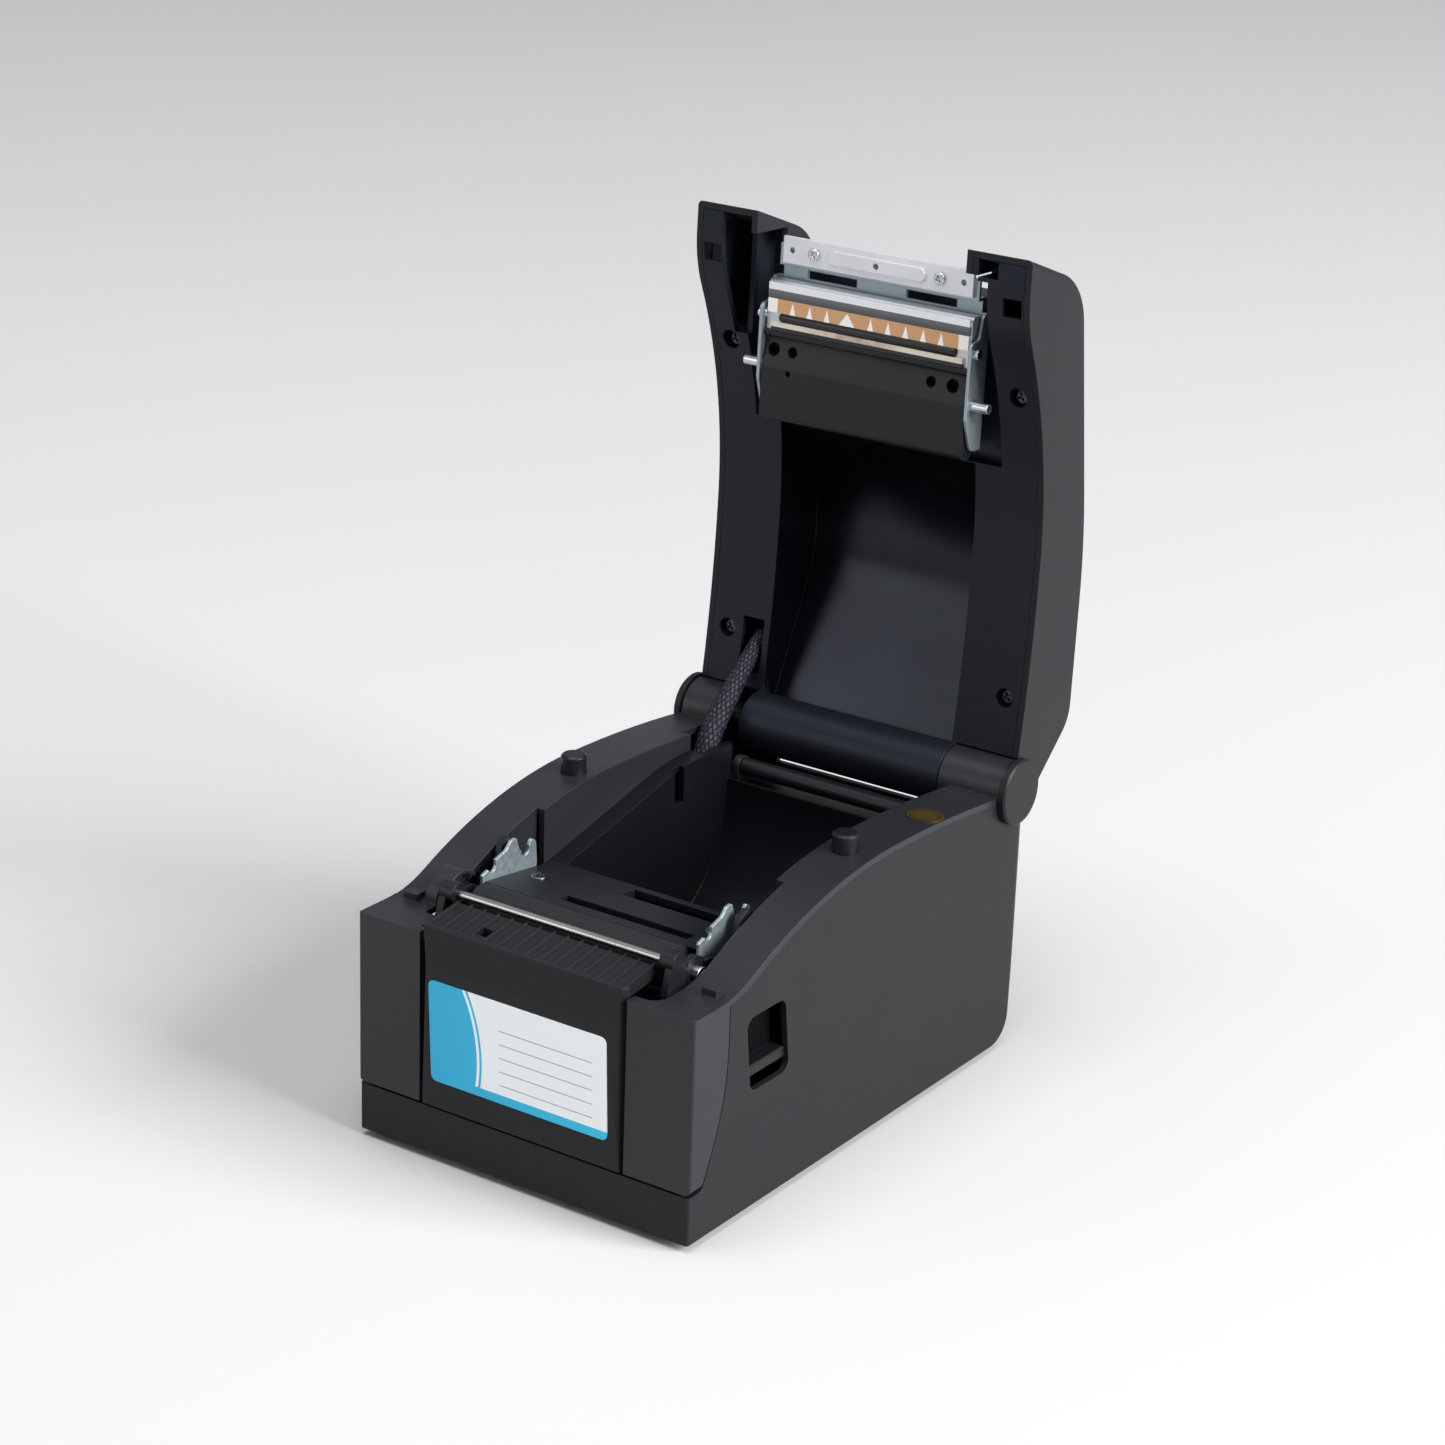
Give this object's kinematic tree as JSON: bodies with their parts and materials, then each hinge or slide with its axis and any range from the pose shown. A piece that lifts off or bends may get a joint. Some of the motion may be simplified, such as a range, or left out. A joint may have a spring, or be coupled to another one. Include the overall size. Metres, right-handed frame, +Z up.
{
  "type": "thermal label printer",
  "caption": "Desktop direct thermal label printer with its curved cover open: roll bay, platen and peel rod in the base, sprung print head, latch pins and roll pocket in the cover.",
  "frame": {"origin": "on the table, under the middle of the open printer's bounding box", "axes": "+Z up, the printer's front faces -Y, +X to its right as seen from the front"},
  "size_m": [0.154, 0.2564, 0.3159],
  "materials": {
    "case": "fine moulded texture",
    "deck": "satin moulded",
    "bay": "satin moulded",
    "bezel": "fine moulded texture",
    "label": "printed film",
    "rubber": "matt",
    "screw": "dark plated",
    "frame": "satin moulded",
    "chrome_rod": "bright",
    "steel": "ground",
    "zinc": "zinc plated",
    "board": "solder mask",
    "nickel": "nickel plated",
    "gold_seal": "foil",
    "braid": "braided sleeve",
    "liner": "satin moulded",
    "light_pipe": "clear tinted",
    "aluminium": "brushed",
    "ceramic": "glazed, with gold tracks",
    "resin": "cast resin",
    "head_board": "laminate",
    "key": "satin",
    "platen_rubber": "ground",
    "gear": "moulded",
    "brass_gear": "cut",
    "guide": "satin",
    "sensor": "moulded"
  },
  "bodies": {
    "base": {"lower_case": "case", "upper_deck": "deck", "media_bay": "bay", "front_bezel": "bezel", "front_label": "label", "rubber_feet": "rubber", "case_screws": "screw", "engine_frame": "frame", "guide_plate": "frame", "guide_screws": "screw", "peel_rod": "chrome_rod", "platen_bushes": "frame", "idler_pin": "steel", "motor_body": "zinc", "main_board": "board", "usb_port": "nickel", "power_jack": "frame", "switch_frame": "frame", "seal_dot": "gold_seal", "harness_sleeve": "braid", "latch_plate_left": "zinc", "latch_plate_right": "zinc", "hinge_pin_left": "case", "hinge_pin_right": "case"},
    "cover": {"cover_shell": "case", "cover_liner": "liner", "cover_screws": "screw", "status_lights": "light_pipe", "head_bracket": "zinc", "tear_plate": "aluminium", "tear_screws": "screw"},
    "printhead": {"heat_sink": "aluminium", "print_substrate": "ceramic", "resin_bead": "resin", "head_board": "head_board", "head_cover": "frame", "head_front_pins": "steel", "head_rear_pins": "steel"},
    "feed_key": {"feed_key": "key"},
    "pause_key": {"pause_key": "key"},
    "platen": {"platen_roller": "platen_rubber", "platen_shaft": "steel", "platen_gear": "gear"},
    "idler": {"idler_gear": "gear"},
    "motor_rotor": {"motor_pinion": "brass_gear"},
    "guide": {"guide_roller": "guide"},
    "sensor": {"media_sensor": "sensor"},
    "plunger_left": {"plunger_left": "key"},
    "plunger_right": {"plunger_right": "key"},
    "release_left": {"release_button_left": "key"},
    "release_right": {"release_button_right": "key"},
    "hook_left": {"latch_hook_left": "frame"},
    "hook_right": {"latch_hook_right": "frame"},
    "rocker": {"power_rocker": "key"}
  },
  "joints": [
    {"name": "cover_hinge", "type": "hinge", "parent": "base", "child": "cover", "pos_m": [0, 0.08443, 0.1085], "axis": [1, 0, 0], "range_deg": [0, 92.3], "deforming": ["harness_sleeve"]},
    {"name": "head_float", "type": "slide", "parent": "cover", "child": "printhead", "axis": [0, 0.9992, -0.0401], "range_m": [0, 0.0012], "stiffness_N_per_m": 4000, "springref_m": -0.002},
    {"name": "feed_press", "type": "slide", "parent": "cover", "child": "feed_key", "axis": [0, -0.9908, -0.1356], "range_m": [0, 0.0008], "stiffness_N_per_m": 800, "springref_m": -0.001},
    {"name": "pause_press", "type": "slide", "parent": "cover", "child": "pause_key", "axis": [0, -0.9908, -0.1356], "range_m": [0, 0.0008], "stiffness_N_per_m": 800, "springref_m": -0.001},
    {"name": "platen_spin", "type": "hinge", "parent": "base", "child": "platen", "pos_m": [0, -0.09357, 0.0895], "axis": [1, 0, 0], "continuous": true},
    {"name": "idler_spin", "type": "hinge", "parent": "base", "child": "idler", "pos_m": [0, -0.09088, 0.07037], "axis": [1, 0, 0], "continuous": true},
    {"name": "motor_spin", "type": "hinge", "parent": "base", "child": "motor_rotor", "pos_m": [0, -0.08441, 0.05648], "axis": [1, 0, 0], "continuous": true},
    {"name": "guide_spin", "type": "hinge", "parent": "base", "child": "guide", "pos_m": [0, 0.06943, 0.095], "axis": [1, 0, 0], "continuous": true},
    {"name": "sensor_slide", "type": "slide", "parent": "base", "child": "sensor", "axis": [1, 0, 0], "range_m": [0, 0.044]},
    {"name": "plunger_left_slide", "type": "slide", "parent": "base", "child": "plunger_left", "axis": [0, 0, 1], "range_m": [-0.0072, 0]},
    {"name": "release_left_press", "type": "slide", "parent": "base", "child": "release_left", "axis": [1, 0, 0], "range_m": [0, 0.003], "stiffness_N_per_m": 600, "springref_m": -0.002},
    {"name": "hook_left_swing", "type": "hinge", "parent": "base", "child": "hook_left", "pos_m": [-0.0516, -0.07457, 0.072], "axis": [1, 0, 0], "range_deg": [0, 12.2]},
    {"name": "plunger_right_slide", "type": "slide", "parent": "base", "child": "plunger_right", "axis": [0, 0, 1], "range_m": [-0.0072, 0]},
    {"name": "release_right_press", "type": "slide", "parent": "base", "child": "release_right", "axis": [-1, 0, 0], "range_m": [0, 0.003], "stiffness_N_per_m": 600, "springref_m": -0.002},
    {"name": "hook_right_swing", "type": "hinge", "parent": "base", "child": "hook_right", "pos_m": [0.0516, -0.07457, 0.072], "axis": [1, 0, 0], "range_deg": [0, 12.2]},
    {"name": "power_rock", "type": "hinge", "parent": "base", "child": "rocker", "pos_m": [-0.046, 0.0862, 0.034], "axis": [0, 0, 1], "range_deg": [0, 18]}
  ],
  "couplings": [
    {"joint": "idler_spin", "follows": "platen_spin", "ratio": -0.71429},
    {"joint": "motor_spin", "follows": "platen_spin", "ratio": 2},
    {"joint": "plunger_left_slide", "follows": "cover_hinge", "m_per_rad": -0.0043453},
    {"joint": "hook_left_swing", "follows": "release_left_press", "rad_per_m": 69.813},
    {"joint": "plunger_right_slide", "follows": "cover_hinge", "m_per_rad": -0.0043453},
    {"joint": "hook_right_swing", "follows": "release_right_press", "rad_per_m": 69.813}
  ]
}
